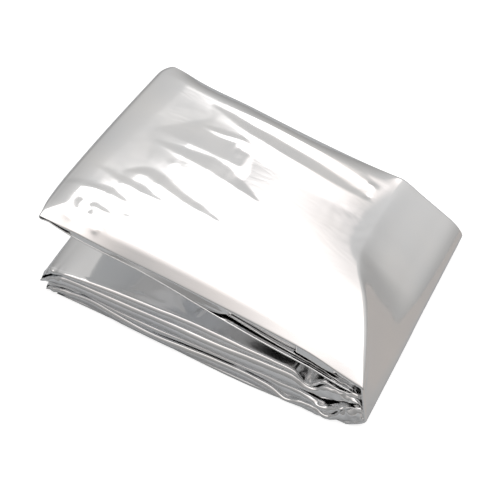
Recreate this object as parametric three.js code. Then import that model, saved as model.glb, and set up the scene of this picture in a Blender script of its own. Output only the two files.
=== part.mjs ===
// An emergency foil blanket, folded: one sheet of metallised film laid back and forth in a strip, and doubled
// over a spine so that an upper packet leans open over a lower one. Millimetres, +Z up.
//
// The sheet is one body. Its section lies in the X-Z plane and is carried across Y, from the front edge to
// the back edge, while the leaves change height, the front edges swell out and the corners draw in.

import * as THREE from "three";

// Driving dimensions
const LENGTH = 131; // from the left folds to the outside of the spine
const WIDTH = 91; // of the folded strip, front to back
const SHEET = 1.2; // one leaf, which stands for a bundle of film plies
const FLOOR_LEAF_START = 6.5; // the free end of the leaf that lies on the floor
const FLOOR_LEAF_END = 124.5; // where that leaf leaves the floor for the spine

// Leaves from the top down. Heights are those of the middle of the sheet at its left end, halfway along and
// at its right end. swell is how far the front edge stands out past the front plane, and ripple is the size
// of the leaf's waves.
const ON_FLOOR = [SHEET / 2, SHEET / 2, SHEET / 2];
const LEAVES = {
  top: { front: [42.4, 36.4, 26.2], back: [41.4, 32.2, 22.2], swell: 0.5, ripple: 0 },
  under: { front: [37.4, 27.9, 13.8], back: [36.8, 26.8, 10.9], swell: 1.5, ripple: 0.3 },
  fourth: { front: [12.6, 15.6, 10.8], back: [12.0, 14.0, 8.6], swell: 3.0, ripple: 0.3 },
  third: { front: [8.9, 11.4, 8.2], back: [8.4, 9.8, 6.5], swell: 4.0, ripple: 0.3 },
  second: { front: [5.8, 5.5, 5.5], back: [5.6, 5.8, 4.4], swell: 4.4, ripple: 0.25 },
  first: { front: [2.7, 2.7, 2.9], back: [2.6, 2.8, 2.4], swell: 4.8, ripple: 0.15 },
  floor: { front: ON_FLOOR, back: ON_FLOOR, swell: 4.4, ripple: 0 },
};

// Folds: the x at which the two leaves end at the front and at the back, and how far the round nose reaches
// past them to the left (-) or right (+), as a share of half the nose's height.
const FOLDS = {
  topNose: { front: 5.4, back: 5.0, reach: -1.05 },
  upperNose: { front: 4.8, back: 4.0, reach: -1.15 },
  lowerNose: { front: 4.0, back: 3.2, reach: -1.15 },
  wedgeFold: { front: 123.0, back: 114.0, reach: 1.0 },
  innerFold: { front: 122.0, back: 114.0, reach: 1.0 },
  freeEnd: { front: 121.0, back: 113.0, reach: 0 },
};

// The spine, from the end of the top leaf down to the floor: x and z of the middle of the sheet.
const RIDGE = { front: 117, back: 104 };
const SPINE = [
  { name: "shoulder", front: [122.8, 23.0], back: [110.4, 18.6] },
  { name: "face", front: [127.4, 16.6], back: [119.6, 12.9] },
  { name: "heel", front: [129.7, 9.4], back: [127.8, 8.0] },
  { name: "toe", front: [130.2, 3.6], back: [130.3, 3.9] },
];

// Unevenness of the top leaf and of the corners
const CROWN = 0.9; // the top leaf stands this much higher halfway across
const FRONT_ROLL = { depth: 3.0, reach: 5.5, fadeFrom: 60, fadeTo: 88 }; // it rolls down at its front edge
const BACK_ROLL = { depth: 1.3, reach: 5.0 };
const CORNER_PULL = { front: 1.0, back: 2.6, reach: 6.4 }; // the left folds draw in at the strip's two edges
const SWELL_SKEW = 2.0; // puts the widest part of the swollen front edge towards the spine
const RIPPLES = 3.5; // waves along a leaf

// Steps along each stretch of the section, and places across the strip from front (0) to back (1)
const LEAF_STEPS = 14;
const FLOOR_STEPS = 10;
const NOSE_STEPS = 6;
const SPINE_STEPS_PER_SPAN = 3;
const STATIONS = [0, 0.015, 0.04, 0.08, 0.16, 0.28, 0.42, 0.56, 0.7, 0.82, 0.91, 0.96, 0.985, 1];

const { clamp, lerp, smoothstep } = THREE.MathUtils;

// Smooth change from the front value to the back value.
function across(front, back, t) {
  return lerp(front, back, smoothstep(t, 0, 1));
}

// Parabola through a leaf's three heights, u from 0 at its left end to 1 at its right end.
function heightAlong(heights, u) {
  const [left, middle, right] = heights;
  return left * (1 - u) * (1 - 2 * u) + 4 * middle * u * (1 - u) + right * u * (2 * u - 1);
}

// 1 at the edge of the strip, falling to 0 at a distance of reach from it.
function nearEdge(distance, reach) {
  return clamp(1 - distance / reach, 0, 1) ** 2;
}

// How far the left folds are drawn in.
function cornerPull(t) {
  const { front, back, reach } = CORNER_PULL;
  return front * nearEdge(t * WIDTH, reach) + back * nearEdge((1 - t) * WIDTH, reach);
}

// The top leaf's rolled edges and crown.
function topShape(x, t) {
  const rolled = 1 - smoothstep(x, FRONT_ROLL.fadeFrom, FRONT_ROLL.fadeTo);
  const frontDrop = FRONT_ROLL.depth * rolled * nearEdge(t * WIDTH, FRONT_ROLL.reach);
  const backDrop = BACK_ROLL.depth * nearEdge((1 - t) * WIDTH, BACK_ROLL.reach);
  return CROWN * Math.sin(Math.PI * t) - frontDrop - backDrop;
}

// One point of the middle of the sheet, as x, z and the swell of the front edge there.
function leafPoint(name, leftX, rightX, u, t) {
  const leaf = LEAVES[name];
  const x = lerp(leftX, rightX, u);
  let z = across(heightAlong(leaf.front, u), heightAlong(leaf.back, u), t);
  z += leaf.ripple * Math.sin(RIPPLES * Math.PI * u + leaf.swell) * Math.sin(Math.PI * u);
  if (name === "top") z += topShape(x, t);
  return { x, z, swell: leaf.swell };
}

function leafRun(name, leftX, rightX, steps, t, rightToLeft) {
  const run = [];
  for (let i = 0; i <= steps; i += 1) {
    const u = rightToLeft ? 1 - i / steps : i / steps;
    run.push(leafPoint(name, leftX, rightX, u, t));
  }
  return run;
}

// Half an ellipse from one leaf's end to the next, without its two end points.
function nose(from, to, share) {
  const points = [];
  const rise = (from.z - to.z) / 2;
  const reach = share * rise;
  for (let i = 1; i < NOSE_STEPS; i += 1) {
    const angle = (Math.PI * i) / NOSE_STEPS;
    points.push({
      x: lerp(from.x, to.x, i / NOSE_STEPS) + reach * Math.sin(angle),
      z: (from.z + to.z) / 2 + rise * Math.cos(angle),
      swell: lerp(from.swell, to.swell, i / NOSE_STEPS),
    });
  }
  return points;
}

// The spine from the floor leaf's end up to the ridge, where it meets the top leaf in its own direction.
function spineRun(floorRun, topRun, t) {
  const knots = [floorRun.at(-2), floorRun.at(-1)];
  for (const row of [...SPINE].reverse()) {
    knots.push({ x: across(row.front[0], row.back[0], t), z: across(row.front[1], row.back[1], t) });
  }
  knots.push(topRun[0], topRun[1]);
  const places = knots.map((knot) => new THREE.Vector3(knot.x, 0, knot.z));
  const curve = new THREE.CatmullRomCurve3(places, false, "centripetal");
  const spans = knots.length - 1;
  const steps = (spans - 2) * SPINE_STEPS_PER_SPAN;
  const points = [];
  for (let i = 1; i < steps; i += 1) {
    const place = curve.getPoint((1 + i / SPINE_STEPS_PER_SPAN) / spans);
    points.push({ x: place.x, z: place.z, swell: lerp(LEAVES.floor.swell, LEAVES.top.swell, i / steps) });
  }
  return points;
}

// The middle of the sheet at one place across the strip, from the floor leaf's free end to the inner one.
function sectionAt(t) {
  const foldX = {};
  for (const [name, fold] of Object.entries(FOLDS)) {
    const pull = fold.reach < 0 ? cornerPull(t) : 0;
    foldX[name] = across(fold.front, fold.back, t) + pull;
  }
  const ridgeX = across(RIDGE.front, RIDGE.back, t);
  const floor = leafRun("floor", FLOOR_LEAF_START, FLOOR_LEAF_END, FLOOR_STEPS, t, false);
  const top = leafRun("top", foldX.topNose, ridgeX, LEAF_STEPS, t, true);
  const under = leafRun("under", foldX.topNose, foldX.wedgeFold, LEAF_STEPS, t, false);
  const fourth = leafRun("fourth", foldX.upperNose, foldX.wedgeFold, LEAF_STEPS, t, true);
  const third = leafRun("third", foldX.upperNose, foldX.innerFold, LEAF_STEPS, t, false);
  const second = leafRun("second", foldX.lowerNose, foldX.innerFold, LEAF_STEPS, t, true);
  const first = leafRun("first", foldX.lowerNose, foldX.freeEnd, LEAF_STEPS, t, false);
  return [
    ...floor,
    ...spineRun(floor, top, t),
    ...top,
    ...nose(top.at(-1), under[0], FOLDS.topNose.reach),
    ...under,
    ...nose(under.at(-1), fourth[0], FOLDS.wedgeFold.reach),
    ...fourth,
    ...nose(fourth.at(-1), third[0], FOLDS.upperNose.reach),
    ...third,
    ...nose(third.at(-1), second[0], FOLDS.innerFold.reach),
    ...second,
    ...nose(second.at(-1), first[0], FOLDS.lowerNose.reach),
    ...first,
  ];
}

// Unit normals of the section, stretched at the bends so that the sheet keeps its thickness.
function sectionNormals(points) {
  const turned = (a, b) => new THREE.Vector2(-(b.z - a.z), b.x - a.x).normalize();
  return points.map((point, i) => {
    const before = turned(points[Math.max(i - 1, 0)], points[Math.max(i, 1)]);
    const after = turned(points[Math.min(i, points.length - 2)], points[Math.min(i + 1, points.length - 1)]);
    const middle = before.clone().add(after).normalize();
    return middle.divideScalar(middle.dot(after));
  });
}

// The y of a point: the front edge swells out past the front plane, and the back edge is straight.
function depthAt(point, t) {
  const along = clamp(point.x / LENGTH, 0, 1);
  const frontY = -point.swell * Math.sin(Math.PI * along ** SWELL_SKEW);
  return lerp(frontY, WIDTH, t);
}

function sheetGeometry() {
  const positions = [];
  const faces = [];
  let count = 0;
  for (const t of STATIONS) {
    const points = sectionAt(t);
    const normals = sectionNormals(points);
    count = points.length;
    for (const side of [1, -1]) {
      points.forEach((point, i) => {
        const offset = (side * SHEET) / 2;
        positions.push(point.x + offset * normals[i].x, depthAt(point, t), point.z + offset * normals[i].y);
      });
    }
  }
  const vertex = (station, side, i) => station * 2 * count + side * count + i;
  const quad = (a, b, c, d) => faces.push(a, b, c, a, c, d);
  const lastStation = STATIONS.length - 1;
  for (let s = 0; s < lastStation; s += 1) {
    for (let i = 0; i < count - 1; i += 1) {
      quad(vertex(s, 0, i), vertex(s, 0, i + 1), vertex(s + 1, 0, i + 1), vertex(s + 1, 0, i));
      quad(vertex(s, 1, i), vertex(s + 1, 1, i), vertex(s + 1, 1, i + 1), vertex(s, 1, i + 1));
    }
    quad(vertex(s, 0, 0), vertex(s + 1, 0, 0), vertex(s + 1, 1, 0), vertex(s, 1, 0));
    const end = count - 1;
    quad(vertex(s, 0, end), vertex(s, 1, end), vertex(s + 1, 1, end), vertex(s + 1, 0, end));
  }
  for (let i = 0; i < count - 1; i += 1) {
    quad(vertex(0, 0, i), vertex(0, 1, i), vertex(0, 1, i + 1), vertex(0, 0, i + 1));
    quad(
      vertex(lastStation, 0, i),
      vertex(lastStation, 0, i + 1),
      vertex(lastStation, 1, i + 1),
      vertex(lastStation, 1, i),
    );
  }
  const geometry = new THREE.BufferGeometry();
  geometry.setAttribute("position", new THREE.Float32BufferAttribute(positions, 3));
  geometry.setIndex(faces);
  return geometry;
}

// The origin is the middle of the underside of the surrounding box.
function standOnOrigin(geometry) {
  geometry.computeBoundingBox();
  const { min, max } = geometry.boundingBox;
  geometry.translate(-(min.x + max.x) / 2, -(min.y + max.y) / 2, -min.z);
  geometry.computeVertexNormals();
  return geometry;
}

const film = new THREE.MeshStandardMaterial({ color: 0xdfe1e3, roughness: 0.16, metalness: 1.0 });

const blanket = new THREE.Group();
const sheet = new THREE.Mesh(standOnOrigin(sheetGeometry()), film);
sheet.name = "foil_blanket";
blanket.add(sheet);

export default blanket;
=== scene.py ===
"""An emergency foil blanket: one sheet of bright film, folded into a strip and doubled over a spine.

The strip's own frame is used for every size below, in millimetres: x runs from the loose left folds to
the spine, y from the open front edge to the back edge, z up from the floor. place() moves it into the CAD
frame.
"""

import math

import bpy
import numpy as np
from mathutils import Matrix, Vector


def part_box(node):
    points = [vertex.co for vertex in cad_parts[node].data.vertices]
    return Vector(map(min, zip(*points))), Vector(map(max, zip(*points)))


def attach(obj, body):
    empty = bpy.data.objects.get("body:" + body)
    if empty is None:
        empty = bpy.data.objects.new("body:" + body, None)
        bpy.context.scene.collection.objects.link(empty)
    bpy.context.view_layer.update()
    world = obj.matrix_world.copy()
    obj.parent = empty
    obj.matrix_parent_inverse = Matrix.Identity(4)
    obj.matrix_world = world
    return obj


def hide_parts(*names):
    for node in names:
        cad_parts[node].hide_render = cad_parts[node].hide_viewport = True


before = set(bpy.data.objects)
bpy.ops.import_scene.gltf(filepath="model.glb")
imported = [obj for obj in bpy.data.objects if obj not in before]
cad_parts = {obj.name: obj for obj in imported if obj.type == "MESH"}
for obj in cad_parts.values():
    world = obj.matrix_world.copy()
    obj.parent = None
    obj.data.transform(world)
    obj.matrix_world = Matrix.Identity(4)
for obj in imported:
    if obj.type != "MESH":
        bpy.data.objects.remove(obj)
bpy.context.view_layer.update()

# ---------------- sizes of the folded strip, in millimetres

MM = 0.001
LENGTH = 131.0
WIDTH = 91.0
SPINE_OUTSIDE = 131.12  # x of the spine's outermost point
HALF_SHEET = 0.6  # half of one leaf of the solid
FILM = 0.07  # thickness of the visible film, a few plies

# Heights of a leaf's middle at its left end, halfway along and at its right end, along the strip's front
# and back; then x of its left and its right end, at the front and back
LEAVES = {
    "top": {
        "front": (42.4, 36.4, 24.2),
        "back": (41.4, 32.2, 22.2),
        "left": (5.4, 5),
        "right": (124.5, 104),
    },
    "under": {
        "front": (37.4, 28.8, 13.8),
        "back": (36.8, 26.8, 10.9),
        "left": (5.4, 5),
        "right": (123, 114),
    },
    "fourth": {
        "front": (12.6, 15.6, 10.8),
        "back": (12.0, 14.0, 8.6),
        "left": (4.8, 4),
        "right": (123, 114),
    },
}
# x of the spine's upper edge at places across the strip
RIDGE = [
    (-5, 128.6), (0, 127.3), (4, 125.8), (10, 123.4), (19, 119.6), (30, 114.2), (41, 107.5), (52, 104.9),
    (64, 104.4), (91, 104.4),
]
SPINE_FOOT = {"out": 2.2, "x": (112, 125)}  # how far the spine's lower front corner stands out
TOE = (130.2, 3.8)  # x and z of the spine's outermost crease
# Shares of the way along and down from the ridge to the toe: the shoulder, the face, the heel and the toe
SPINE = [
    {"along": 0.30, "down": 0.20},
    {"along": 0.64, "down": 0.48},
    {"along": 0.91, "down": 0.76},
    {"along": 1.0, "down": 1.0},
]
# What lies under the spine stays this gap below its middle. The limit begins between these y, and where it
# doesn't hold it is raised by this much.
UNDER_SPINE = {"gap": 1.9, "y": (2, 9), "free": 30}
FLOOR_LEAF = (6.5, 124.5)  # x of the floor leaf's two ends
NOSE_REACH = 1.05  # how far the upper packet's left nose stands out, in shares of its half height
CROWN = 0.9  # how much higher the top is halfway across the strip
CORNER_PULL = {"front": 0.2, "back": 1.9, "reach": 6.0}  # how far the left corners are drawn in
# How far the front edge of each part stands out past the front plane
SWELL = {"top": 0.5, "under": 1.5, "upper": 3.0, "floor": 4.4}

# ---------------- small helpers


def smoothstep(v, low=0.0, high=1.0):
    """0 below low, 1 above high and a soft step between them."""
    v = np.clip((np.asarray(v, float) - low) / (high - low), 0.0, 1.0)
    return v * v * (3 - 2 * v)


def across(front, back, y):
    """A value that changes smoothly from the strip's front edge to its back edge."""
    return front + (back - front) * smoothstep(y, 0, WIDTH)


def parabola(heights, u):
    """The height at u from 0 to 1, through the heights at 0, a half and 1."""
    left, middle, right = heights
    return left * (1 - u) * (1 - 2 * u) + 4 * middle * u * (1 - u) + right * u * (2 * u - 1)


def leaf_height(name, x, y):
    """Height of a leaf's middle."""
    leaf = LEAVES[name]
    left = across(*leaf["left"], y)
    u = (x - left) / (across(*leaf["right"], y) - left)
    return across(parabola(leaf["front"], u), parabola(leaf["back"], u), y)


def swell_at(x, amount):
    """How far the front edge stands out past the front plane."""
    return amount * np.sin(np.pi * np.clip(x / LENGTH, 0, 1) ** 2)


def near_edge(distance, reach):
    """1 at the edge, falling to 0 at reach from it."""
    return np.clip(1 - distance / reach, 0, 1) ** 2


def rolled(distance, reach, straight):
    """0 at reach from the edge, bending down to a straight slope that ends at 1 on the edge."""
    t = np.clip(distance / reach, 0, 1)
    return ((1 - t) ** 2 - np.maximum(straight - t, 0) ** 2) / (1 - straight**2)


def corner_pull(y):
    """How far the left end is drawn in near the front and back edges."""
    reach = CORNER_PULL["reach"]
    return CORNER_PULL["front"] * near_edge(y, reach) + CORNER_PULL["back"] * near_edge(WIDTH - y, reach)


def curve(x, points):
    """A smooth line through (x, value) points."""
    px, pv = np.array(points, float).T
    slopes = np.gradient(pv, px)
    i = np.clip(np.searchsorted(px, x) - 1, 0, len(px) - 2)
    step = px[i + 1] - px[i]
    t = np.clip((x - px[i]) / step, 0, 1)
    a = pv[i] * (1 + 2 * t) * (1 - t) ** 2 + pv[i + 1] * t * t * (3 - 2 * t)
    return a + step * (slopes[i] * t * (1 - t) ** 2 - slopes[i + 1] * t * t * (1 - t))


def noise(a, b, seed, octaves=3):
    """Soft value noise from -1 to 1 over two coordinates in cells."""
    total = np.zeros(np.broadcast(a, b).shape)
    for octave in range(octaves):
        table = np.random.default_rng(seed + 71 * octave).uniform(-1, 1, (64, 64))
        scale = 2.0**octave
        u, v = a * scale, b * scale
        i, j = np.floor(u).astype(int), np.floor(v).astype(int)
        s, t = smoothstep(u - i), smoothstep(v - j)
        i0, j0, i1, j1 = i % 64, j % 64, (i + 1) % 64, (j + 1) % 64
        low = table[i0, j0] * (1 - s) + table[i1, j0] * s
        high = table[i0, j1] * (1 - s) + table[i1, j1] * s
        total = total + (low * (1 - t) + high * t) / scale
    return total / (2 - 2.0 ** (1 - octaves))


def facets(a, b, size, seed, sheets=5):
    """Crumpled film, from -1 to 1: flat patches between sharp creases, about one size across."""
    draw = np.random.default_rng(seed)
    wa = a + size * noise(a / size * 0.5, b / size * 0.5, seed + 5, 2) / 2
    wb = b + size * noise(a / size * 0.5, b / size * 0.5, seed + 9, 2) / 2
    total = np.zeros(np.broadcast(a, b).shape)
    for _ in range(sheets):
        angle = draw.uniform(0, math.pi)
        length = size * draw.uniform(0.8, 2.2)
        phase = draw.uniform(0, 1)
        wave = (wa * math.cos(angle) + wb * math.sin(angle)) / length + phase
        total = total + (4 * np.abs(wave - np.floor(wave) - 0.5) - 1)
    return total / sheets


LINE_TAPER = 0.35  # the share of a line over which it fades at each end


def along_line(x, y, points, width):
    """1 on a line through (x, y) points, falling off over width to its sides and towards its ends."""
    best = np.full(np.broadcast(x, y).shape, 1e9)
    share = np.zeros_like(best)
    ends = np.array(points, float)
    lengths = np.hypot(*(ends[1:] - ends[:-1]).T)
    total, done = lengths.sum(), 0.0
    for k, length in enumerate(lengths):
        (ax, ay), (bx, by) = ends[k], ends[k + 1]
        t = np.clip(((x - ax) * (bx - ax) + (y - ay) * (by - ay)) / length**2, 0, 1)
        distance = np.hypot(x - ax - t * (bx - ax), y - ay - t * (by - ay))
        nearer = distance < best
        best = np.where(nearer, distance, best)
        share = np.where(nearer, (done + t * length) / total, share)
        done += length
    fade = smoothstep(share, 0, LINE_TAPER) * smoothstep(1 - share, 0, LINE_TAPER)
    return np.exp(-((best / width) ** 2)) * (0.15 + 0.85 * fade)


# ---------------- meshes


def place(points):
    """From the strip's frame to the CAD frame, in metres."""
    low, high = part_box("foil_blanket")
    shift = np.array([high.x / MM - SPINE_OUTSIDE, high.y / MM - WIDTH, 0.0])
    return (points + shift) * MM


def add_object(name, data):
    """A new object in the scene."""
    obj = bpy.data.objects.new(name, data)
    bpy.context.scene.collection.objects.link(obj)
    return obj


def lengths_along(points):
    """The distance of each point from the first, along the line through them."""
    return np.concatenate([[0], np.cumsum(np.linalg.norm(np.diff(points, axis=0), axis=1))])


def mesh_object(name, points, quads, uv):
    mesh = bpy.data.meshes.new(name)
    mesh.vertices.add(len(points))
    mesh.vertices.foreach_set("co", place(points).ravel())
    quads = np.asarray(quads, np.int32)
    mesh.loops.add(quads.size)
    mesh.loops.foreach_set("vertex_index", quads.ravel())
    mesh.polygons.add(len(quads))
    mesh.polygons.foreach_set("loop_start", np.arange(0, quads.size, 4, dtype=np.int32))
    mesh.polygons.foreach_set("use_smooth", np.ones(len(quads), bool))
    mesh.update(calc_edges=True)
    layer = mesh.uv_layers.new(name="UVMap")
    layer.data.foreach_set("uv", (uv[quads.ravel()] * MM).ravel())
    mesh.validate()
    return add_object(name, mesh)


def grid_quads(rows, columns, offset=0, flip=False, wrap=False):
    """The faces of a grid of points, which may close on itself along its columns."""
    i = np.arange(rows - 1)[:, None]
    j = np.arange(columns if wrap else columns - 1)[None, :]
    k = (j + 1) % columns
    a, b = i * columns + j, (i + 1) * columns + j
    c, d = (i + 1) * columns + k, i * columns + k
    quads = np.stack(np.broadcast_arrays(a, b, c, d), -1).reshape(-1, 4) + offset
    return quads[:, ::-1] if flip else quads


def grid_normals(grid):
    du = np.gradient(grid, axis=0)
    dv = np.gradient(grid, axis=1)
    normal = np.cross(du, dv)
    return normal / np.maximum(np.linalg.norm(normal, axis=-1, keepdims=True), 1e-9)


def film_object(name, grid):
    """A closed thin film whose outer side is the grid, with du x dv pointing out."""
    rows, columns, _ = grid.shape
    inner = grid - FILM * grid_normals(grid)
    points = np.concatenate([grid.reshape(-1, 3), inner.reshape(-1, 3)])
    count = rows * columns
    index = np.arange(count).reshape(rows, columns)
    rim = np.concatenate([index[0, :], index[1:, -1], index[-1, -2::-1], index[-2:0:-1, 0]])
    after = np.roll(rim, -1)
    sides = np.stack([rim, after, after + count, rim + count], -1)
    quads = np.concatenate([grid_quads(rows, columns), grid_quads(rows, columns, count, flip=True), sides])
    u = lengths_along(grid[:, columns // 2])
    v = lengths_along(grid[rows // 2])
    uv = np.stack(np.meshgrid(u, v, indexing="ij"), -1).reshape(-1, 2)
    return mesh_object(name, points, quads, np.concatenate([uv, uv]))


def skin_object(name, grid):
    """A closed skin: each row of the grid is a closed loop, and the first and last rows are nearly flat."""
    rows, columns, _ = grid.shape
    quads = grid_quads(rows, columns, wrap=True)
    half = columns // 2
    caps = []
    for row, flip in ((0, False), (rows - 1, True)):
        base = row * columns
        for j in range(half - 1):
            quad = [base + j, base + j + 1, base + columns - 2 - j, base + columns - 1 - j]
            if len(set(quad)) == 4:
                caps.append(quad[::-1] if flip else quad)
    quads = np.concatenate([quads, np.array(caps)])
    centre = grid.reshape(-1, 3).mean(0)
    a, b, c, d = (grid.reshape(-1, 3)[quads[:, k]] - centre for k in range(4))
    volume = (np.einsum("ij,ij->i", a, np.cross(b, c)) + np.einsum("ij,ij->i", a, np.cross(c, d))).sum()
    if volume < 0:
        quads = quads[:, ::-1]
    u = np.repeat(grid[:, 0, 0], columns)
    v = np.tile(lengths_along(grid[rows // 2]), rows)
    return mesh_object(name, grid.reshape(-1, 3), quads, np.stack([u, v], -1))


# ---------------- the film that covers both packets

# How far the top bends down at its edges, over which reach, and the share of the reach that is straight
FRONT_ROLL = {
    "reach": 8.0,
    "straight": 0.35,
    "depth": [
        (4, 0.5), (9, 1.8), (14, 2.3), (19, 2.1), (24, 2.6), (30, 3.1), (60, 3.3), (84, 2.9), (98, 2.5),
        (106, 2.3), (120, 1.5), (126, 0.9), (131, 0.4),
    ],
}
BACK_ROLL = {
    "reach": 7.0,
    "depth": [(4, 0.1), (10, 0.8), (16, 1.9), (40, 2.1), (70, 2.2), (92, 1.2), (104, 0)],
}
LEFT_ROLL = {"reach": (6, 12), "depth": (0.75, 0.95)}
# Between these the top film folds down to the underside
SKIRT = {"starts": (15, 19), "ends": (68, 88), "ripple": 0.30}
# Between these a narrow flap hangs from it
FLAP = {"starts": (102.6, 104), "ends": (112, 124), "drop": 1.9, "out": 0.5}

# The lower front edge of the upper packet: height at places along the strip, and how far it stands out
ROOF_EDGE = [
    (5, 41.6), (10.3, 39.4), (18.7, 37.2), (29.3, 35.8), (47, 34.1), (57, 32.2), (68, 29.6), (81, 26.6),
    (98, 22.9), (102, 22.1), (109, 20.6), (115, 18.4), (121, 16.2), (126, 14.9),
]
ROOF_OUT = [(5, 0.1), (20, 0.4), (50, 0.9), (130, 1)]
# Radius of the folded edge, the corner's being at the left tip, and how far the film is tucked in behind
# it, which is more under the top
HEM = {"top": 0.65, "roof": 0.28, "corner": 0.2, "tuck": 1.0, "more_at_top": 1.5}
# The upper packet's underside: x of its right end at the front and back, how far it stays above the lower
# packet and below the top, its waves, and how far from the front edge it follows the edge's height
ROOF = {"right": (125, 112), "above": 0.3, "below_top": 1.9, "waves": 0.22, "reach": 22}
# At the left corner the underside is pinched against the top, over this reach along and across
PINCH = (5, 6)
# Stretches of the film's grid across the strip, with their numbers of places
COLUMNS = ((0, 8, 20), (8, 84, 104), (84, WIDTH, 16))
# Rows of the film's grid, from the underside round to the floor; the spine's are for each of its stretches
ROWS = {"roof": 40, "nose": 14, "top": 150, "spine": 8, "floor": 13}
HEM_STEPS = {"bend": 8, "front": 14, "back": 5}

# Shallow folds of the top: the crest through (x, y) points, the width of the back flank at places along it
# and its slope, and the width of the front flank
TOP_FOLDS = [
    {"crest": [
         (20, 31), (24, 32.6), (27, 33.6), (33, 32.3), (38.5, 30.9), (48, 29), (56, 28.2), (66, 27.6),
     ],
     "back": [(20, 0), (25, 3), (34, 4.6), (43, 3.4), (52, 3.4), (60, 1.6), (66, 0)],
     "slope": 0.066, "front": 9},
    {"crest": [(8, 28.4), (16, 27.4), (20, 26.4), (27, 25.5), (34, 24.8), (40, 25), (45, 25)],
     "back": [(8, 0), (16, 1.6), (22, 2.6), (31, 3.2), (38, 1.9), (45, 0)],
     "slope": 0.066, "front": 5},
    {"crest": [(4, 16), (9, 17.2), (14, 18.4), (20, 19)],
     "back": [(4, 2), (9, 3), (14, 2.6), (20, 0)],
     "slope": 0.10, "front": 12},
    {"crest": [(10, 17.4), (15, 18.5), (20, 18.9), (26, 18.4), (30, 17.6), (35, 15.6)],
     "back": [(10, 0), (16, 1.8), (22, 3), (28, 2), (31, 0.8), (35, 0)],
     "slope": 0.066, "front": 4},
    {"crest": [(17, 11.4), (20, 11.5), (23, 11.1), (26.4, 10.6), (30, 9.4), (33, 7.4)],
     "back": [(17, 0), (20, 1.2), (25, 1.4), (29, 0.9), (33, 0)],
     "slope": 0.085, "front": 2.5},
    {"crest": [(29, 12.9), (32, 13), (38, 12.2)],
     "back": [(29, 0), (32, 1), (35, 1), (38, 0)],
     "slope": 0.085, "front": 2},
    {"crest": [(33, 20.4), (38, 19.8), (43, 18.6)],
     "back": [(33, 0), (37, 0.9), (43, 0)],
     "slope": 0.07, "front": 2},
    {"crest": [(20, 51), (33, 49.4), (41, 48.8), (50, 47.6), (57, 46.6), (68, 45.2)],
     "back": [(20, 0), (33, 4), (44, 7), (51, 7), (59, 4), (68, 0)],
     "slope": 0.050, "front": 11},
    {"crest": [(18, 56), (36, 57), (50, 57), (60, 57)],
     "back": [(18, 0), (32, 16), (47, 17), (53, 12), (57, 0), (60, 0)],
     "slope": 0.016, "front": 9},
    {"crest": [(31, 68), (34, 68.2), (40, 68.4), (45, 69.6), (57, 69.2)],
     "back": [(31, 0), (38, 2.6), (48, 2.6), (57, 0)],
     "slope": 0.034, "front": 1.2},
    {"crest": [
         (29, 80.6), (35, 79), (42, 76.8), (48, 75.4), (54, 74.8), (61, 73.8), (71, 72.9), (87, 71.9),
         (100, 72.5),
     ],
     "back": [(29, 0), (44, 4.6), (56, 6), (76, 6), (92, 3.6), (100, 0)],
     "slope": 0.055, "front": 9},
    {"crest": [(36, 85), (44, 84.8), (51, 84.8), (62, 84.4), (72, 83.8), (84, 82.6), (98, 81)],
     "back": [(36, 0), (50, 5), (70, 5), (90, 4), (98, 0)],
     "slope": 0.045, "front": 4},
    {"crest": [(56, 30), (78, 31), (100, 28)],
     "back": [(56, 0), (70, 8), (86, 8), (100, 0)],
     "slope": 0.012, "front": 10},
]
TOP_WAVES = 0.02
# Crumpled places on the top: centre x, y, reach and height
CRUMPLES = [
    (34, 44, 7, 0.07), (48, 66, 8, 0.06), (47, 72, 6, 0.06), (92, 76, 8, 0.10), (96, 60, 16, 0.06),
    (105, 56, 15, 0.10), (14, 10, 12, 0.05),
]
# Short sharp creases: the line through (x, y) points, how fast they fall off, and their height
CREASES = [
    {"line": [(13.5, 14.5), (16, 9), (18.5, 4.5)], "width": 1.2, "height": 0.20},
    {"line": [(14.5, 15), (19.5, 9.5), (20.5, 4.5)], "width": 0.8, "height": -0.16},
    {"line": [(21, 6.6), (25, 5.2), (29, 5.6), (33, 6.4)], "width": 1.0, "height": 0.30},
    {"line": [(24.4, 1.2), (25.8, 3.2), (27.4, 5.4)], "width": 0.8, "height": 0.34},
    {"line": [(8, 5), (12, 4.4), (16, 3.2), (19, 1.4)], "width": 1.0, "height": 0.22},
    {"line": [(92, 79), (96, 80.5), (100, 79)], "width": 1.0, "height": 0.30},
    {"line": [(95, 76), (98, 73)], "width": 0.9, "height": -0.2},
]
# Where the back half of the top starts to bend down towards the spine: x at places across the strip; how
# far it comes down, over which reach, and between which y this begins
SHOULDER_LINE = [(-6, 129), (10, 124), (24, 117), (37, 110), (46, 102), (62, 98.5), (84, 101), (91, 103)]
SHOULDER = {"drop": 1.3, "reach": 9.0, "y": (36, 50)}
# The top sinks towards the spine's front corner
CORNER_DIP = {"drop": 5.0, "x": (104, 131), "reach": 36.0}


def fold_height(x, y, fold):
    """A fold with flat flanks, so that each flank has one tone, and pointed ends."""
    first, last = fold["crest"][0][0], fold["crest"][-1][0]
    along = np.clip(x, first, last)
    away = y - curve(along, fold["crest"])
    back = np.maximum(np.interp(along, *zip(*fold["back"])), 0.01)
    front = fold["front"] * np.minimum(back / 1.5, 1) + 0.01
    height = fold["slope"] * back
    rise = 1 - (np.sqrt(away**2 + 0.02) - 0.14) / np.where(away > 0, back, front)
    return height * (rise + np.sqrt(rise**2 + 0.004)) / 2


def sharp_crease(x, y, crease):
    """A crease that comes to a sharp line and fades out over three times its width."""
    near = np.maximum(along_line(x, y, crease["line"], crease["width"] * 3), 1e-9)
    away = np.sqrt(np.maximum(-np.log(near), 0))
    return crease["height"] * np.exp(-3 * away) * near**0.1


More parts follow.
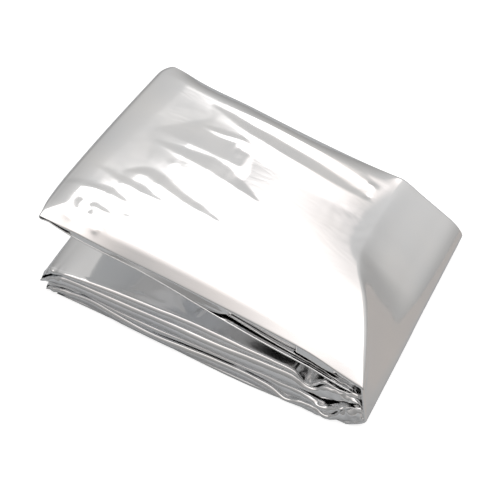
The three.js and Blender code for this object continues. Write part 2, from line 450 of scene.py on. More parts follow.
def top_relief(x, y):
    """Folds, creases, the bend towards the spine and crumpled places, on top of the top's even shape."""
    relief = np.zeros(np.broadcast(x, y).shape)
    for fold in TOP_FOLDS:
        relief = relief + fold_height(x, y, fold)
    for crease in CREASES:
        relief = relief + sharp_crease(x, y, crease)
    bend = np.maximum(x - curve(y, SHOULDER_LINE), 0)
    bent = 1 - np.exp(-((bend / SHOULDER["reach"]) ** 2))
    relief = relief - SHOULDER["drop"] * smoothstep(y, *SHOULDER["y"]) * bent
    relief = relief + TOP_WAVES * noise(x / 26, y / 11, 3, 2) * smoothstep(y, 0, 8)
    for number, (centre_x, centre_y, reach, height) in enumerate(CRUMPLES):
        near = near_edge(np.hypot(x - centre_x, y - centre_y), reach)
        relief = relief + height * near * facets(x, y, 5.0, 23 + number)
    return relief


def top_height(x, y):
    """Middle of the top leaf, bent down at its edges."""
    left = across(*LEAVES["top"]["left"], y)
    front = curve(x, FRONT_ROLL["depth"]) * rolled(y, FRONT_ROLL["reach"], FRONT_ROLL["straight"])
    back = curve(x, BACK_ROLL["depth"]) * near_edge(WIDTH - y, BACK_ROLL["reach"])
    side = across(*LEFT_ROLL["depth"], y) * near_edge(x - left, across(*LEFT_ROLL["reach"], y))
    dip = CORNER_DIP["drop"] * smoothstep(x, *CORNER_DIP["x"]) * near_edge(y, CORNER_DIP["reach"])
    crown = CROWN * np.sin(np.pi * np.clip(y / WIDTH, 0, 1))
    return leaf_height("top", x, y) + crown - front - back - side - dip


def roof_height(x, y):
    """Middle of the upper packet's lowest leaf."""
    at_edge = curve(x, ROOF_EDGE) + HALF_SHEET - leaf_height("under", x, 0 * y)
    return leaf_height("under", x, y) + at_edge * near_edge(y, ROOF["reach"])


def between(at, start, stop, first, last):
    """A value between first at start and last at stop."""
    return ((stop - at) * first + (at - start) * last) / (stop - start)


def spine_points(y, floor_end, top_end, top_next):
    """Centripetal Catmull-Rom curve from the top leaf's end down to the floor leaf's end."""
    knots = [top_next, top_end]
    for row in SPINE:
        along = top_end[0] + row["along"] * (TOE[0] - top_end[0])
        knots.append((along, top_end[1] + row["down"] * (TOE[1] - top_end[1])))
    knots += [floor_end, (floor_end[0] - 8.0, floor_end[1])]
    knots = np.array([[np.broadcast_to(v, y.shape) for v in knot] for knot in knots])
    out = []
    for k in range(1, len(knots) - 2):
        p = knots[k - 1 : k + 3]
        t = [np.zeros_like(y)]
        for a, b in zip(p[:-1], p[1:]):
            t.append(t[-1] + np.sqrt(np.hypot(*(b - a))))
        steps = np.linspace(0, 1, ROWS["spine"] + 1)
        for s in steps[:-1] if k < len(knots) - 3 else steps:
            at = t[1] + s * (t[2] - t[1])
            legs = [between(at, t[i], t[i + 1], p[i], p[i + 1]) for i in range(3)]
            first = between(at, t[0], t[2], legs[0], legs[1])
            last = between(at, t[1], t[3], legs[1], legs[2])
            out.append(between(at, t[1], t[2], first, last))
    return np.array(out)


def under_spine(x, y):
    """Greatest height of what lies under the spine: no limit in front of the ridge or at the front edge."""
    ridge = curve(y, RIDGE)
    along = np.clip((x - ridge) / (TOE[0] - ridge), 0, 1)
    down = np.interp(along, [0] + [row["along"] for row in SPINE], [0] + [row["down"] for row in SPINE])
    top = top_height(ridge, y)
    free = UNDER_SPINE["free"] * (1 - smoothstep(y, *UNDER_SPINE["y"]) + (x < ridge))
    return top + down * (TOE[1] - top) - UNDER_SPINE["gap"] + free


def roof_sheet(y, left):
    """x and z of the upper packet's underside, from the right to its left end."""
    u = np.linspace(0, 1, ROWS["roof"])[:, None] ** 1.15
    x = across(*ROOF["right"], y) * (1 - u) + left * u
    z = np.maximum(roof_height(x, y), leaf_height("fourth", x, y) + 2 * HALF_SHEET + ROOF["above"])
    z = z + ROOF["waves"] * noise(x / 18, y / 12 + 0 * x, 41, 2) * np.sin(np.pi * u)
    pinch = near_edge(np.hypot((x - left) / PINCH[0], y / PINCH[1]), 1.0) ** 0.7
    return x, z + pinch * (leaf_height("top", x, y) - ROOF["below_top"] - z)


def cover_film():
    """The film from the upper packet's underside round its nose, over the top, down the spine and below."""
    y = np.unique(np.concatenate([np.linspace(*stretch) for stretch in COLUMNS]))
    left = across(*LEAVES["top"]["left"], y) + corner_pull(y)
    roof_x, roof_z = roof_sheet(y, left)
    top_x = left + (curve(y, RIDGE) - left) * np.linspace(0, 1, ROWS["top"] + 1)[:, None]
    top_z = top_height(top_x, y + 0 * top_x)

    rise = (top_z[0] - roof_z[-1]) / 2
    angle = np.linspace(0, np.pi, ROWS["nose"] + 2)[1:-1, None]
    nose_x = left - NOSE_REACH * rise * np.sin(angle)
    nose_z = (top_z[0] + roof_z[-1]) / 2 - rise * np.cos(angle)

    floor_end = (np.full_like(y, FLOOR_LEAF[1]), np.full_like(y, HALF_SHEET))
    spine = spine_points(y, floor_end, (top_x[-1], top_z[-1]), (top_x[-4], top_z[-4]))
    floor_u = np.linspace(0, 1, ROWS["floor"] + 1)[1:, None]
    floor_x = FLOOR_LEAF[1] + (FLOOR_LEAF[0] - FLOOR_LEAF[1]) * floor_u + 0 * y
    floor_z = np.full_like(floor_x, HALF_SHEET)

    x = np.concatenate([roof_x, nose_x, top_x[:-1], spine[:, 0], floor_x])
    z = np.concatenate([roof_z, nose_z, top_z[:-1], spine[:, 1], floor_z])
    swell = [
        np.full(ROWS["roof"], SWELL["under"]),
        np.linspace(SWELL["under"], SWELL["top"], ROWS["nose"]),
        np.full(ROWS["top"], SWELL["top"]),
        np.linspace(SWELL["top"], SWELL["floor"], spine.shape[0]),
        np.full(ROWS["floor"], SWELL["floor"]),
    ]
    swell = np.concatenate(swell)[:, None]
    row = np.arange(x.shape[0])[:, None]
    first_top = ROWS["roof"] + ROWS["nose"]
    first_floor = x.shape[0] - ROWS["floor"]
    first_spine = first_floor - spine.shape[0]
    near_floor = smoothstep(row, first_spine, first_floor - ROWS["spine"])
    foot = SPINE_FOOT["out"] * near_floor * smoothstep(x[:, :1], *SPINE_FOOT["x"])
    front_y = -swell_at(x, swell) - curve(x[:, :1], ROOF_OUT) * (row < ROWS["roof"]) - foot
    depth = front_y + (WIDTH - front_y) * (y / WIDTH)

    # outward by half a leaf, plus the relief of the top
    tangent_x, tangent_z = np.gradient(x, axis=0), np.gradient(z, axis=0)
    length = np.hypot(tangent_x, tangent_z)
    normal = np.stack([-tangent_z / length, np.zeros_like(x), tangent_x / length], -1)
    on_top = smoothstep(row, first_top - 6, first_top + 6)
    on_top = on_top * (1 - smoothstep(row, first_spine, first_floor - 1))
    relief = top_relief(x, y + 0 * x) * on_top
    offset = np.where(row >= first_floor, HALF_SHEET - 0.02, HALF_SHEET) + relief
    grid = np.stack([x, depth, z], -1) + offset[..., None] * normal

    return add_hems(grid, normal)


def add_hems(grid, normal):
    """Continues the film round its front and back edges, and down to the underside on the left."""
    rows = grid.shape[0]
    row = np.arange(rows)
    first_top = ROWS["roof"] + ROWS["nose"]
    is_top = smoothstep(row, first_top - 3, first_top + 4) * (row < first_top + ROWS["top"])
    roof = 1 - smoothstep(row, ROWS["roof"] - 4, first_top)
    x = grid[:, 0, 0]
    skirt = is_top * smoothstep(x, *SKIRT["starts"]) * (1 - smoothstep(x, *SKIRT["ends"]))
    flap = is_top * smoothstep(x, *FLAP["starts"]) * (1 - smoothstep(x, *FLAP["ends"]))
    radius = HEM["top"] + (HEM["roof"] - HEM["top"]) * roof
    radius = (HEM["corner"] + (radius - HEM["corner"]) * smoothstep(x, 10, 19))[:, None]
    reach_in = HEM["tuck"] + HEM["more_at_top"] * is_top
    columns = []
    for side, edge, inside in ((-1, 0, 1), (1, -1, -2)):
        out = grid[:, edge] - grid[:, inside]
        rise = np.einsum("ij,ij->i", out, normal[:, edge])
        start = np.clip(np.arctan2(-rise, np.abs(out[:, 1])), -0.5, 1.2)[:, None]
        hangs = np.maximum(skirt, flap)[:, None] if side < 0 else np.zeros((rows, 1))
        stop = math.pi * (1 - 0.47 * np.minimum(hangs * 1.5, 1))
        y_out = np.array([0.0, side, 0.0])
        hem = []
        for s in np.linspace(0, 1, HEM_STEPS["bend"] + 1)[1:]:
            angle = start + (stop - start) * s
            turn_out = radius * (np.sin(angle) - np.sin(start)) * y_out
            turn_down = radius * (np.cos(start) - np.cos(angle)) * normal[:, edge]
            hem.append(grid[:, edge] + turn_out - turn_down)
        end = hem[-1]
        tuck = -reach_in[:, None] * y_out * (1 - np.minimum(hangs * 1.5, 1))
        down = np.zeros((rows, 3))
        if side < 0:
            to_roof = curve(x, ROOF_EDGE) + 1.97 * HEM["roof"] - end[:, 2]
            out_to_roof = -swell_at(x, SWELL["under"]) - curve(x, ROOF_OUT) - end[:, 1]
            down[:, 2] = skirt * np.minimum(to_roof, -0.3) - flap * FLAP["drop"]
            down[:, 1] = skirt * out_to_roof - flap * FLAP["out"]
        steps = HEM_STEPS["front" if side < 0 else "back"]
        for s in np.linspace(0, 1, steps + 1)[1:]:
            tall = np.clip(-down[:, 2] / 3, 0, 1)
            ripple = SKIRT["ripple"] * noise(x / 30, s * 5 * tall, 61, 2) * np.sin(np.pi * s)
            ripple = skirt * tall * ripple
            hem.append(end + tuck * s + down * s - ripple[:, None] * y_out)
        columns.append(np.stack(hem, 1))
    front, back = columns
    return np.concatenate([front[:, ::-1], grid, back], 1)


# ---------------- bundles of folded film

SPINE_LEAN = 13.0  # how much shorter the bundles are at the back, where the spine comes forward
# A lip's least half height, how round it is, the waves of its front, and its plies' lines
LIP = {"least": 0.12, "round": 1.9, "waves": 0.25, "plies": 0.09}
BACK_WAVES = 0.25
# Steps round a bundle's section, from its lid round each fold's lip and gap to its floor and back
STEPS = {"lid": 40, "lip": 17, "gap": 10, "floor": 14, "back": 12}

# The crumpled front corners of a bundle: how far they reach along and behind, and how strongly they
# crumple; then the height of the crumples along x, y and z
CRUMPLED = {
    "left": {"along": 13, "behind": 8, "out": 2, "share": 0.9},
    "right": {"along": 24, "behind": 9, "out": 3, "share": 1.0},
}
CRUMPLE_HEIGHTS = (0.5, 0.8, 0.6)


def bundle_lips(x, front_y, folds, seed):
    """The rounded front of each fold along x: where it starts, its middle, half height and reach."""
    lips = []
    for k, fold in enumerate(folds):
        upper, lower = fold["upper"](x), fold["lower"](x)
        half = np.maximum((upper - lower) / 2, LIP["least"])
        out = curve(x, fold["out"]) + LIP["waves"] * noise(x / 16, 7.7 * k + 0 * x, seed + 30 + k, 3)
        reach = np.minimum(half * LIP["round"], fold["reach"])
        lips.append({"y": front_y - out + reach, "z": (upper + lower) / 2, "half": half, "reach": reach})
    return lips


def round_lip(x, lip, seed):
    """Points round the front of a fold, from its upper to its lower side, with the lines of its plies."""
    points = []
    for angle in np.linspace(math.pi / 2, -math.pi / 2, STEPS["lip"]):
        y = lip["y"] - lip["reach"] * max(math.cos(angle), 0) ** 0.7
        z = lip["z"] + lip["half"] * math.sin(angle)
        plies = LIP["plies"] * math.cos(angle) * noise(x / 60, (z - lip["z"]) / 0.7, seed, 2)
        points.append(np.stack([y + plies, z], -1))
    return points


def deep_gap(lip, below, push):
    """Points between two lips, on a Bezier curve that goes back and out again."""
    y0, z0 = lip["y"], lip["z"] - lip["half"]
    y3, z3 = below["y"], below["z"] + below["half"]
    points = []
    for t in np.linspace(0, 1, STEPS["gap"])[1:-1]:
        a, b, c, d = (1 - t) ** 3, 3 * t * (1 - t) ** 2, 3 * t * t * (1 - t), t**3
        y = a * y0 + b * (y0 + push) + c * (y3 + push) + d * y3
        points.append(np.stack([y, a * z0 + b * z0 + c * z3 + d * z3], -1))
    return points


def bundle(x, lid, floor, front_y, folds, seed, back_y=WIDTH - 0.8):
    """A closed skin round a bundle of folds: rounded lips at the front with deep gaps between them.

    folds lists, from the top down, the height of each fold's upper and lower side along x, how far it
    stands out, how deep the gap under it is and how far its rounded lip reaches back. lid and floor give
    the bundle's upper and lower side behind them.
    """
    back_y = np.full_like(x, back_y)
    lips = bundle_lips(x, front_y, folds, seed)
    first, last = lips[0], lips[-1]
    share = 1 - (1 - np.linspace(0, 1, STEPS["lid"])[:, None]) ** 1.8
    lid_y = back_y * (1 - share) + first["y"] * share
    lid_z = lid(np.broadcast_to(x, lid_y.shape), lid_y)
    lid_z = lid_z + (first["z"] + first["half"] - lid_z[-1]) * share**5
    path = [np.stack([lid_y[k], lid_z[k]], -1) for k in range(len(share))]
    for k, lip in enumerate(lips):
        path += round_lip(x, lip, seed + 11 * k)
        if lip is not last:
            push = 4 / 3 * folds[k]["deep"] * (1 + 0.3 * noise(x / 12, 5.3 * k + 0 * x, seed + 60 + k, 2))
            path += deep_gap(lip, lips[k + 1], push)
    share = np.linspace(0, 1, STEPS["floor"])[1:, None]
    floor_y = last["y"] * (1 - share) + back_y * share
    floor_z = floor(np.broadcast_to(x, floor_y.shape), floor_y)
    floor_z = floor_z + (last["z"] - last["half"] - floor_z[0]) * (1 - share) ** 5
    path += [np.stack([floor_y[k], floor_z[k]], -1) for k in range(len(share))]
    for t in np.linspace(0, 1, STEPS["back"])[1:-1]:
        bulge = 1.0 * math.sin(math.pi * t) + 0.5 * abs(math.sin(2 * math.pi * t)) - 0.2
        y = back_y + bulge + BACK_WAVES * noise(x / 15, 9 * t + 0 * x, seed + 90, 2)
        path.append(np.stack([y, floor_z[-1] + (lid_z[0] - floor_z[-1]) * t], -1))
    section = np.stack(path, 1)
    lean = SPINE_LEAN * smoothstep(section[..., 0], 0, WIDTH) * smoothstep(x, 60, 126)[:, None]
    grid = np.concatenate([x[:, None, None] - lean[..., None], section], -1)
    grid[..., 2] = np.minimum(grid[..., 2], np.maximum(under_spine(grid[..., 0], grid[..., 1]), 0.3))
    return grid


def close_ends(grid, left_radius, right_radius, seed, left_level=0.5):
    """Rounds a bundle's ends to a level between its lower and upper side; crumples its front corners."""
    x = grid[:, 0, 0]
    start, stop = x[0], x[-1]
    left = np.clip((start + left_radius - x) / left_radius, 0, 1)
    right = np.clip((x - stop + right_radius) / right_radius, 0, 1)
    keep = np.sqrt(np.maximum(1 - left**2, 0.002)) * np.sqrt(np.maximum(1 - right**2, 0.002))
    level = np.where(x < (start + stop) / 2, left_level, 0.5)
    middle = grid[..., 2].max(1) * level + grid[..., 2].min(1) * (1 - level)
    out = grid.copy()
    out[..., 2] = middle[:, None] + (grid[..., 2] - middle[:, None]) * keep[:, None]
    amount = 0.0
    for corner, inwards in ((CRUMPLED["left"], x - start), (CRUMPLED["right"], stop - x)):
        along = np.maximum(inwards, 0)[:, None] / corner["along"]
        behind = np.maximum(grid[..., 1] + corner["out"], 0) / corner["behind"]
        amount = amount + corner["share"] * np.clip(1 - np.hypot(along, behind), 0, 1)
    along_x, along_y, along_z = CRUMPLE_HEIGHTS
    out[..., 1] += along_y * amount * facets(grid[..., 0], grid[..., 2] * 1.4, 2.6, seed, 4)
    out[..., 2] += along_z * amount * facets(grid[..., 0], grid[..., 1] + grid[..., 2], 3.1, seed + 3, 4)
    out[..., 0] += along_x * amount * facets(grid[..., 1], grid[..., 2], 2.3, seed + 6, 4)
    return out


def steps_along(start, stop, count):
    """Places along a bundle, closer together at its two ends."""
    t = np.linspace(0, 1, count)
    even = t - np.sin(2 * np.pi * t) / (2 * np.pi) * 0.75
    return start + (stop - start) * even


# Heights of the folds' bright upper edges along the front, from the wedge down to the floor. Each fold is
# pinched where its edge dips: the first two at x = 110, the third at 117, and the fourth at 102 and 118.
FIRST_EDGE = [
    (0.5, 9.2), (4, 11.6), (8, 12.9), (17, 14.1), (27, 14.9), (46, 16), (61, 16.9), (73, 17.3),
    (88, 17.1), (97, 16.7), (104, 15.6), (110, 11.9), (112, 13.8), (114.5, 16.1), (119, 15.1), (127, 14),
]
SECOND_EDGE = [
    (0.5, 6.6), (9, 10.8), (17, 11.4), (25, 11.5), (40, 11.8), (61, 12.9), (73, 13.2), (88, 14),
    (97, 14), (104, 13.4), (110, 11.1), (112, 11.2), (114.5, 13.2), (118, 13.8), (123, 12.8),
    (127.5, 11.7),
]
THIRD_EDGE = [
    (0.5, 3), (4, 4.4), (10, 5.8), (23, 6.4), (31, 6), (42, 6.4), (61, 7.3), (74, 8), (88, 8.2),
    (95, 8.2), (99.5, 7.4), (110, 7.2), (117, 5.2), (120.3, 7.3), (124, 9), (127.5, 9.5),
]
FOURTH_EDGE = [
    (0.5, 1.4), (4, 2.6), (12, 3.6), (23, 4.6), (31, 4.2), (46, 3.2), (61, 3.9), (74, 4.8), (89, 4.8),
    (97, 3.6), (102, 1.5), (107, 3), (113, 3.5), (118, 2.2), (122.5, 6.3), (128, 7.8),
]
# Open height under each fold along the front
FIRST_GAP = [
    (2, 0.8), (12, 0.5), (30, 0.25), (80, 0.3), (90, 0.7), (104, 0.7), (110, 0.15), (114, 1.7),
    (120, 0.9), (127, 0.4),
]
SECOND_GAP = [(2, 1.2), (20, 0.3), (60, 0.3), (104, 0.4), (117, 1.6), (122, 0.9), (127, 0.5)]
THIRD_GAP = [
    (2, 0.3), (9, 1), (12, 1.1), (15, 0.15), (18, 1.2), (23, 1), (30, 0.35), (44, 0.7), (60, 1.3),
    (90, 1.5), (98, 0.7), (102, 0.25), (112, 0.6), (118, 0.3), (123, 0.7), (128, 0.4),
]
# Height of the lower packet's upper side behind its front edge
LID = [
    (0, 12.3), (7, 13.4), (16, 14.7), (27, 15), (48, 16.2), (68, 16.9), (80, 17.1), (99, 16.8),
    (112, 15.4), (126, 13),
]
# How far the lowest fold stands out past the front plane
FOOT_OUT = [
    (2, 0.6), (20, 0.9), (28, 1.6), (48, 3.3), (60, 3.8), (81, 4.5), (93, 4.8), (107, 5.2), (120, 5.2),
    (128, 3),
]
PACKET_MIDDLE = 6.4  # height at which the lower packet's bundles meet, well behind the front
PACKET_GAP = 0.2  # how far each of them stays away from there
# Upper edges of the folds inside the upper packet
INNER_EDGE = [
    (60, 33), (74, 31), (83, 29), (94, 25.6), (100, 24.1), (103, 23.9), (106, 23.1), (110, 21.9),
    (114, 20.4), (120, 17.6), (126, 15.6),
]


def line(points):
    """A height along x, as a function."""
    return lambda x: curve(x, points)


def under(points, gap):
    """The lower side of the fold that lies above the fold with this edge."""
    return lambda x: curve(x, points) + curve(x, gap)


# Creases on the lower packet's upper side, seen in the open wedge
WEDGE_CREASES = [
    {"line": [(51.5, 9.5), (55.5, 6.2), (59.5, 3.4), (63.6, 1.2)], "width": 0.8, "height": 0.35},
    {"line": [(65.8, 8.5), (64.6, 5), (64, 1.5)], "width": 0.7, "height": -0.35},
    {"line": [(43, 7.2), (48.3, 7.7), (54, 7)], "width": 0.8, "height": 0.2},
    {"line": [(36, 2), (42, 2.6), (50, 2.2), (56, 2.6)], "width": 0.9, "height": 0.15},
]


def lower_lid(x, y):
    """Upper side of the lower packet, kept below the upper packet."""
    lid = curve(x, LID) + (leaf_height("fourth", x, y) - leaf_height("fourth", x, 0 * y))
    for crease in WEDGE_CREASES:
        lid = lid + crease["height"] * along_line(x, y, crease["line"], crease["width"])
    return np.minimum(lid, roof_height(x + 4, y) - HALF_SHEET - 0.4)


def packet_middle(x, y):
    """Height at which the lower packet's two bundles meet, behind their front folds."""
    at_edge = near_edge(y, 12)
    return curve(x, THIRD_EDGE) * at_edge + PACKET_MIDDLE * (1 - at_edge)


def upper_floor(x, y):
    """Lower side of the upper folds."""
    return packet_middle(x, y) + PACKET_GAP


def middle_lid(x, y):
    """Upper side of the lower folds."""
    return packet_middle(x, y) - PACKET_GAP


def above_floor(x, y=0):
    """The lowest side of the lower packet, level and just above the floor."""
    return 0.1 + 0 * (x + y)


def upper_bundle():
    """The lower packet's upper folds."""
    x = steps_along(0.5, 128.6, 260)
    folds = [
        {"upper": line(FIRST_EDGE), "lower": under(SECOND_EDGE, FIRST_GAP),
         "out": [(2, 0), (110, 0.2), (128, 0.6)],
         "deep": 2.4, "reach": 3.0},
        {"upper": line(SECOND_EDGE), "lower": under(THIRD_EDGE, SECOND_GAP),
         "out": [(2, 0.8), (60, 1.2), (128, 1.1)],
         "deep": 2.0, "reach": 3.0},
    ]
    front_y = -swell_at(x, SWELL["upper"]) - 0.2
    grid = bundle(x, lower_lid, upper_floor, front_y, folds, 101)
    return close_ends(grid, 3.0, 2.4, 7, 0.15)


def lower_bundle():
    """The lower packet's lower folds."""
    x = steps_along(1.8, 129.8, 260)
    folds = [
        {"upper": line(THIRD_EDGE), "lower": under(FOURTH_EDGE, THIRD_GAP),
         "out": [(2, -0.6), (40, -0.8), (128, -0.5)],
         "deep": 3.0, "reach": 2.0},
        {"upper": line(FOURTH_EDGE), "lower": above_floor,
         "out": [(2, 0), (128, 0)],
         "deep": 0.0, "reach": 2.4},
    ]
    grid = bundle(x, middle_lid, above_floor, -curve(x, FOOT_OUT), folds, 202)
    return close_ends(grid, 1.4, 2.0, 19, 0.1)


def inner_lid(x, y):
    """Upper side of the inner folds: close under the top, and low at the front."""
    behind = 20 * (1 - near_edge(y, 60))
    return np.minimum(top_height(x, y) - 1.8, curve(x, INNER_EDGE) - 0.5 + behind)


def inner_floor(x, y):
    """Lower side of the inner folds."""
    return np.minimum(roof_height(x, y) + 0.4, top_height(x, y) - 2.8)


def inner_bundle():
    """The folds inside the upper packet, seen under the lip of the top film on the right."""
    x = steps_along(40.0, 126.0, 190)
    places = np.array([place_x for place_x, _ in INNER_EDGE], float)
    roof = curve(places, ROOF_EDGE) + 0.8
    second = [(place_x, (height + low) / 2) for (place_x, height), low in zip(INNER_EDGE, roof)]
    folds = [
        {"upper": line(INNER_EDGE), "lower": under(second, [(40, 0.3), (90, 0.5), (126, 0.3)]),
         "out": [(40, -0.6), (80, 0.1), (100, -0.1), (126, 0.2)],
         "deep": 2.0, "reach": 0.5},
        {"upper": line(second), "lower": under(ROOF_EDGE, [(40, 0.9), (126, 0.9)]),
         "out": [(40, -0.4), (80, 0.9), (103, 1.3), (126, 1)],
         "deep": 0.0, "reach": 0.5},
    ]
    front_y = 0.6 - swell_at(x, SWELL["top"])
    grid = bundle(x, inner_lid, inner_floor, front_y, folds, 303, back_y=84.0)
    return close_ends(grid, 4.0, 3.0, 29)


# ---------------- finish

FILM_COLOURS = ((0.86, 0.87, 0.885), (0.91, 0.905, 0.90))


def connect(tree, value, socket):
    """Sets a socket to a value, or joins it to an output."""
    if isinstance(value, bpy.types.NodeSocket):
        tree.links.new(value, socket)
    else:
        socket.default_value = value


def add_node(tree, kind, **inputs):
    """A shader node with its named inputs, such as Scale or From_Min, set or joined."""
    node = tree.nodes.new("ShaderNode" + kind)
    for name, value in inputs.items():
        connect(tree, value, node.inputs[name.replace("_", " ")])
    return node


def add_math(tree, operation, *values):
    """The result of one step of arithmetic on numbers or outputs."""
    step = add_node(tree, "Math")
    step.operation = operation
    for socket, value in zip(step.inputs, values):
        connect(tree, value, socket)
    return step.outputs[0]


def blend_colours(tree, share, first, second):
    """A colour between two colours."""
    node = add_node(tree, "Mix")
    node.data_type = "RGBA"
    connect(tree, share, node.inputs["Factor"])
    connect(tree, (*first, 1.0), node.inputs[6])
    connect(tree, (*second, 1.0), node.inputs[7])
    return node.outputs[2]


def film_tone(tree, place_on_film, shader):
    """Slow changes of the film's tone and roughness."""
    tone = add_node(tree, "TexNoise", Scale=38.0, Detail=3.0, Vector=place_on_film).outputs["Fac"]
    share = add_node(tree, "MapRange", Value=tone, From_Min=0.3, From_Max=0.7)
    rough = add_node(tree, "MapRange", Value=tone, From_Min=0.3, From_Max=0.7, To_Min=0.07, To_Max=0.14)
    connect(tree, rough.outputs["Result"], shader.inputs["Roughness"])
    colour = blend_colours(tree, share.outputs["Result"], *FILM_COLOURS)
    connect(tree, colour, shader.inputs["Base Color"])


def film_bumps(tree, place_on_film, shader):
    """The film's finest crinkle: cells with warped edges, and grain, both longer along the strip."""
    stretched = add_node(tree, "Mapping", Scale=(0.35, 1.0, 1.0), Vector=place_on_film).outputs["Vector"]
    warp = add_node(tree, "TexNoise", Scale=60.0, Vector=stretched)
    warped = add_node(tree, "Mix")
    warped.data_type = "VECTOR"
    connect(tree, 0.06, warped.inputs["Factor"])
    connect(tree, stretched, warped.inputs[4])
    connect(tree, warp.outputs["Color"], warped.inputs[5])
    cells = add_node(tree, "TexVoronoi", Scale=130.0, Vector=warped.outputs[1])
    cells.feature = "DISTANCE_TO_EDGE"
    grain = add_node(tree, "TexNoise", Scale=420.0, Detail=4.0, Vector=stretched)
    bump = add_node(tree, "Bump", Strength=0.02, Distance=0.0004, Height=cells.outputs["Distance"])
    under = bump.outputs["Normal"]
    bump = add_node(tree, "Bump", Strength=0.03, Distance=0.0001, Height=grain.outputs["Fac"], Normal=under)
    connect(tree, bump.outputs["Normal"], shader.inputs["Normal"])


def film_material():
    """Metallised film: fully metallic, almost without colour, and very smooth."""
    material = bpy.data.materials.new("metallised_film")
    material.use_nodes = True
    tree = material.node_tree
    shader = tree.nodes["Principled BSDF"]
    shader.inputs["Metallic"].default_value = 1.0
    place_on_film = add_node(tree, "TexCoord").outputs["Object"]
    film_tone(tree, place_on_film, shader)
    film_bumps(tree, place_on_film, shader)
    return material


def finish_piece(obj, material):
    """Gives a piece its material and its place in the frame."""
    obj.data.materials.append(material)
    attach(obj, "root")
    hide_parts("foil_blanket")


# ---------------- floor, light and camera

# Each edge of the softbox is the line a * x + b * y + c = 0, in shares of its height: a, b, c and the width
# over which the light falls off there. Where it falls off, except at the back, it takes the fringe's colour.
SOFTBOX = {
    "height": 3.0,
    "radiance": 1.24,
    "left": (0.883, -0.469, 0.683, 0.045),
    "right": (-1.0, -0.8, 1.0, 0.66),
    "front": (0.0, 1.0, 0.27, 1.2),
    "back": (0.0, -1.0, 1.46, 0.05),
    "fringe": (1.0, 0.82, 0.75),
}
# The world's even light, and soft lobes on it: the direction, the spread in degrees and the strength
WORLD = {
    "even": 0.25,
    "colour": (1.0, 0.985, 0.97, 1.0),
    "lobes": [
        ((-0.094, 0.329, 0.94), 52, 0.53),
        ((0.42, 0.6, 0.68), 24, 0.18),
        ((0.75, 0.6, 0.2), 28, 0.13),
    ],
}
# Painted reflected shade: the film reflects the floor in one darker grey tint up to the first x and in a
# warmer one from the second x on, in metres. The camera sees the pale floor and its glow instead.
FLOOR = {
    "size": 6.0,
    "reflected_shade_tints": ((0.475, 0.492, 0.505), (0.52, 0.50, 0.485)),
    "from": 0.0665,
    "to": 0.077,
    "seen": (0.5, 0.5, 0.5, 1.0),
    "glow": 0.78,
}
# Place in the strip's frame, tilt and turn in degrees, and focal length
CAMERA = {"place": (192.706, -209.110, 327.626), "tilt": 41.74, "turn": 26.98, "lens": 82.8}


def stage_square(name, size, height, downwards, material):
    """A level square of the stage."""
    mesh = bpy.data.meshes.new(name)
    corners = [(x * size, y * size, height) for x, y in ((-1, -1), (1, -1), (1, 1), (-1, 1))]
    mesh.from_pydata(corners, [], [(3, 2, 1, 0) if downwards else (0, 1, 2, 3)])
    mesh.materials.append(material)
    add_object(name, mesh)


def stage_material(name):
    """An empty material: the material and its node tree."""
    material = bpy.data.materials.new(name)
    material.use_nodes = True
    material.node_tree.nodes.clear()
    return material, material.node_tree


def place_axes(tree):
    """The three coordinates of a place on the object."""
    return add_node(tree, "SeparateXYZ", Vector=add_node(tree, "TexCoord").outputs["Object"]).outputs


def add_shaders(tree, first, second):
    both = add_node(tree, "AddShader")
    connect(tree, first.outputs[0], both.inputs[0])
    connect(tree, second.outputs[0], both.inputs[1])
    return both.outputs[0]


def ceiling_softbox():
    """A softbox in a level ceiling, with crisp left and back edges and soft right and front edges."""
    material, tree = stage_material("softbox")
    axes = place_axes(tree)
    lit = 1.0
    for edge in ("left", "right", "front", "back"):
        a, b, c, softness = SOFTBOX[edge]
        part_x = add_math(tree, "MULTIPLY", axes["X"], a / SOFTBOX["height"])
        part_y = add_math(tree, "MULTIPLY", axes["Y"], b / SOFTBOX["height"])
        inside = add_math(tree, "ADD", part_x, part_y)
        start, stop = -c - softness / 2, -c + softness / 2
        ramp = add_node(tree, "MapRange", Value=inside, From_Min=start, From_Max=stop)
        ramp.interpolation_type = "SMOOTHSTEP"
        lit = add_math(tree, "MULTIPLY", lit, ramp.outputs["Result"])
        if edge == "front":
            colour = blend_colours(tree, lit, SOFTBOX["fringe"], (1.0, 1.0, 1.0))
    strength = add_math(tree, "MULTIPLY", lit, SOFTBOX["radiance"])
    emit = add_node(tree, "Emission", Color=colour, Strength=strength)
    add_node(tree, "OutputMaterial", Surface=add_shaders(tree, emit, add_node(tree, "BsdfTransparent")))
    stage_square("ceiling_softbox", 2 * SOFTBOX["height"], SOFTBOX["height"], True, material)


def world_lobe(tree, towards, direction, spread, strength):
    """strength * exp(-(angle / spread)^2), from the cosine between towards and the direction."""
    dot = add_node(tree, "VectorMath")
    dot.operation = "DOT_PRODUCT"
    connect(tree, towards, dot.inputs[0])
    connect(tree, tuple(np.array(direction) / np.linalg.norm(direction)), dot.inputs[1])
    value = add_math(tree, "SUBTRACT", dot.outputs["Value"], 1.0)
    value = add_math(tree, "MULTIPLY", value, 2 / math.radians(spread) ** 2)
    return add_math(tree, "MULTIPLY", add_math(tree, "EXPONENT", value), strength)


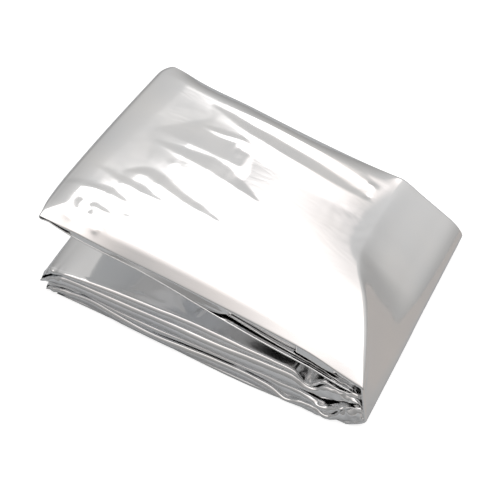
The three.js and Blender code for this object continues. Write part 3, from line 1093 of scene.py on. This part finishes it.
def studio_world():
    """An even light with soft lobes, which the film reflects where it doesn't reflect the softbox."""
    world = bpy.data.worlds.new("studio")
    bpy.context.scene.world = world
    world.use_nodes = True
    tree = world.node_tree
    towards = add_node(tree, "TexCoord").outputs["Generated"]
    total = WORLD["even"]
    for direction, spread, strength in WORLD["lobes"]:
        total = add_math(tree, "ADD", total, world_lobe(tree, towards, direction, spread, strength))
    background = tree.nodes["Background"]
    connect(tree, WORLD["colour"], background.inputs["Color"])
    connect(tree, total, background.inputs["Strength"])


def floor_stage():
    """A pale floor, which the film reflects in two darker tints: painted reflected shade."""
    material, tree = stage_material("floor")
    x = place_axes(tree)["X"]
    # Painted reflected shade: only rays from the film see these darker tints, bluish on the left and warmer
    # on the right
    share = add_node(tree, "MapRange", Value=x, From_Min=FLOOR["from"], From_Max=FLOOR["to"])
    reflected_shade = blend_colours(tree, share.outputs["Result"], *FLOOR["reflected_shade_tints"])
    reflected = add_node(tree, "BsdfDiffuse", Color=reflected_shade)
    pale = add_node(tree, "BsdfDiffuse", Color=FLOOR["seen"])
    seen = add_shaders(tree, pale, add_node(tree, "Emission", Strength=FLOOR["glow"]))
    mix = add_node(tree, "MixShader")
    parts = (add_node(tree, "LightPath").outputs["Is Camera Ray"], reflected.outputs[0], seen)
    for part, socket in zip(parts, mix.inputs):
        connect(tree, part, socket)
    add_node(tree, "OutputMaterial", Surface=mix.outputs[0])
    stage_square("floor", FLOOR["size"], 0.0, False, material)


def photo_camera():
    """The camera solved from the photo's corners."""
    camera = bpy.data.cameras.new("camera")
    camera.sensor_width = 36.0
    camera.lens = CAMERA["lens"]
    camera.clip_end = 50
    obj = add_object("camera", camera)
    obj.location = tuple(place(np.array(CAMERA["place"])))
    obj.rotation_euler = (math.radians(CAMERA["tilt"]), 0, math.radians(CAMERA["turn"]))
    bpy.context.scene.camera = obj


# ---------------- the scene

photo_camera()
floor_stage()
studio_world()
ceiling_softbox()

film = film_material()
finish_piece(film_object("cover_film", cover_film()), film)
finish_piece(skin_object("upper_folds", upper_bundle()), film)
finish_piece(skin_object("lower_folds", lower_bundle()), film)
finish_piece(skin_object("inner_folds", inner_bundle()), film)

scene = bpy.context.scene
scene.view_settings.view_transform = "Standard"
scene.cycles.max_bounces = 8
scene.cycles.glossy_bounces = 5
